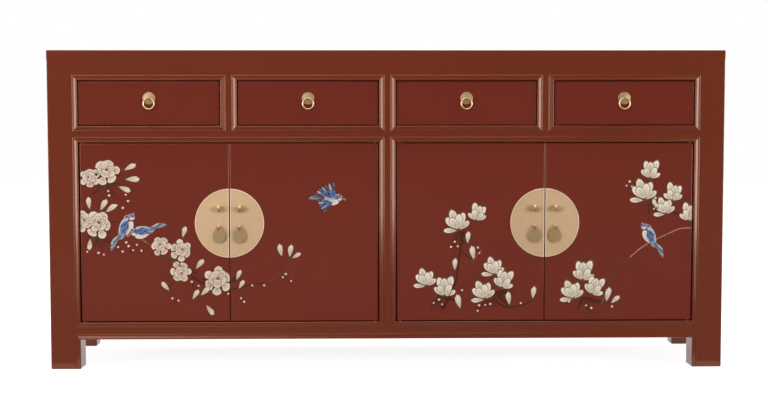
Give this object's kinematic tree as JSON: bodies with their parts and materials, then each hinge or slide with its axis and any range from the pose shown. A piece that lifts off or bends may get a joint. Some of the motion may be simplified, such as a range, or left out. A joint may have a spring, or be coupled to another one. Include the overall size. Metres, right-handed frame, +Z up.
{
  "type": "sideboard cabinet",
  "caption": "Long low lacquered cabinet on square legs: inset drawers with ring pulls above paired doors on pivot pins with round split brass lock plates, beaded frame, shelves inside.",
  "frame": {"origin": "on the floor, at the centre of the cabinet's box", "axes": "+X along the length, to the right as seen from the front; doors face -Y; +Z up"},
  "size_m": [1.8, 0.4128, 0.85],
  "materials": {
    "red_lacquer": "red-brown lacquer, satin gloss",
    "inside_wood": "plain planed elm, thin clear coat",
    "brushed_brass": "pale satin brass"
  },
  "bodies": {
    "carcass": {"front_post_left": "red_lacquer", "front_post_right": "red_lacquer", "rear_post_left": "red_lacquer", "rear_post_right": "red_lacquer", "front_top_rail": "red_lacquer", "front_middle_rail": "red_lacquer", "front_bottom_rail": "red_lacquer", "centre_post": "red_lacquer", "drawer_dividers": "red_lacquer", "top_frame_front": "red_lacquer", "top_frame_back": "red_lacquer", "top_frame_ends": "red_lacquer", "top_panel": "red_lacquer", "side_rails_left": "red_lacquer", "side_rails_right": "red_lacquer", "side_panel_left": "red_lacquer", "side_panel_right": "red_lacquer", "back_rails": "red_lacquer", "back_stile": "red_lacquer", "back_panels": "red_lacquer", "floor_boards": "inside_wood", "floor_bearers": "inside_wood", "partition": "inside_wood", "shelf_left": "inside_wood", "shelf_right": "inside_wood", "shelf_battens": "inside_wood", "drawer_runners": "inside_wood", "top_battens": "inside_wood"},
    "drawer_1": {"drawer_1_front": "red_lacquer", "drawer_1_box": "inside_wood", "drawer_1_pull_plate": "brushed_brass"},
    "drawer_1_ring": {"drawer_1_pull_ring": "brushed_brass"},
    "drawer_2": {"drawer_2_front": "red_lacquer", "drawer_2_box": "inside_wood", "drawer_2_pull_plate": "brushed_brass"},
    "drawer_2_ring": {"drawer_2_pull_ring": "brushed_brass"},
    "drawer_3": {"drawer_3_front": "red_lacquer", "drawer_3_box": "inside_wood", "drawer_3_pull_plate": "brushed_brass"},
    "drawer_3_ring": {"drawer_3_pull_ring": "brushed_brass"},
    "drawer_4": {"drawer_4_front": "red_lacquer", "drawer_4_box": "inside_wood", "drawer_4_pull_plate": "brushed_brass"},
    "drawer_4_ring": {"drawer_4_pull_ring": "brushed_brass"},
    "door_1": {"door_1_leaf": "red_lacquer", "door_1_battens": "inside_wood", "door_1_lock_plate": "brushed_brass"},
    "door_1_pull": {"door_1_pull": "brushed_brass"},
    "door_2": {"door_2_leaf": "red_lacquer", "door_2_battens": "inside_wood", "door_2_lock_plate": "brushed_brass"},
    "door_2_pull": {"door_2_pull": "brushed_brass"},
    "door_3": {"door_3_leaf": "red_lacquer", "door_3_battens": "inside_wood", "door_3_lock_plate": "brushed_brass"},
    "door_3_pull": {"door_3_pull": "brushed_brass"},
    "door_4": {"door_4_leaf": "red_lacquer", "door_4_battens": "inside_wood", "door_4_lock_plate": "brushed_brass"},
    "door_4_pull": {"door_4_pull": "brushed_brass"}
  },
  "joints": [
    {"name": "drawer_1_slide", "type": "slide", "parent": "carcass", "child": "drawer_1", "axis": [0, -1, 0], "range_m": [0, 0.25]},
    {"name": "drawer_1_ring_swing", "type": "hinge", "parent": "drawer_1", "child": "drawer_1_ring", "pos_m": [-0.6315, -0.1968, 0.723], "axis": [1, 0, 0], "range_deg": [-90, 0]},
    {"name": "drawer_2_slide", "type": "slide", "parent": "carcass", "child": "drawer_2", "axis": [0, -1, 0], "range_m": [0, 0.25]},
    {"name": "drawer_2_ring_swing", "type": "hinge", "parent": "drawer_2", "child": "drawer_2_ring", "pos_m": [-0.2105, -0.1968, 0.723], "axis": [1, 0, 0], "range_deg": [-90, 0]},
    {"name": "drawer_3_slide", "type": "slide", "parent": "carcass", "child": "drawer_3", "axis": [0, -1, 0], "range_m": [0, 0.25]},
    {"name": "drawer_3_ring_swing", "type": "hinge", "parent": "drawer_3", "child": "drawer_3_ring", "pos_m": [0.2105, -0.1968, 0.723], "axis": [1, 0, 0], "range_deg": [-90, 0]},
    {"name": "drawer_4_slide", "type": "slide", "parent": "carcass", "child": "drawer_4", "axis": [0, -1, 0], "range_m": [0, 0.25]},
    {"name": "drawer_4_ring_swing", "type": "hinge", "parent": "drawer_4", "child": "drawer_4_ring", "pos_m": [0.6315, -0.1968, 0.723], "axis": [1, 0, 0], "range_deg": [-90, 0]},
    {"name": "door_1_swing", "type": "hinge", "parent": "carcass", "child": "door_1", "pos_m": [-0.81, -0.1836, 0.126], "axis": [0, 0, -1], "range_deg": [0, 90]},
    {"name": "door_1_pull_swing", "type": "hinge", "parent": "door_1", "child": "door_1_pull", "pos_m": [-0.449, -0.1958, 0.382], "axis": [1, 0, 0], "range_deg": [-90, 0]},
    {"name": "door_2_swing", "type": "hinge", "parent": "carcass", "child": "door_2", "pos_m": [-0.032, -0.1836, 0.126], "axis": [0, 0, 1], "range_deg": [0, 90]},
    {"name": "door_2_pull_swing", "type": "hinge", "parent": "door_2", "child": "door_2_pull", "pos_m": [-0.393, -0.1958, 0.382], "axis": [1, 0, 0], "range_deg": [-90, 0]},
    {"name": "door_3_swing", "type": "hinge", "parent": "carcass", "child": "door_3", "pos_m": [0.032, -0.1836, 0.126], "axis": [0, 0, -1], "range_deg": [0, 90]},
    {"name": "door_3_pull_swing", "type": "hinge", "parent": "door_3", "child": "door_3_pull", "pos_m": [0.393, -0.1958, 0.382], "axis": [1, 0, 0], "range_deg": [-90, 0]},
    {"name": "door_4_swing", "type": "hinge", "parent": "carcass", "child": "door_4", "pos_m": [0.81, -0.1836, 0.126], "axis": [0, 0, 1], "range_deg": [0, 90]},
    {"name": "door_4_pull_swing", "type": "hinge", "parent": "door_4", "child": "door_4_pull", "pos_m": [0.449, -0.1958, 0.382], "axis": [1, 0, 0], "range_deg": [-90, 0]}
  ]
}
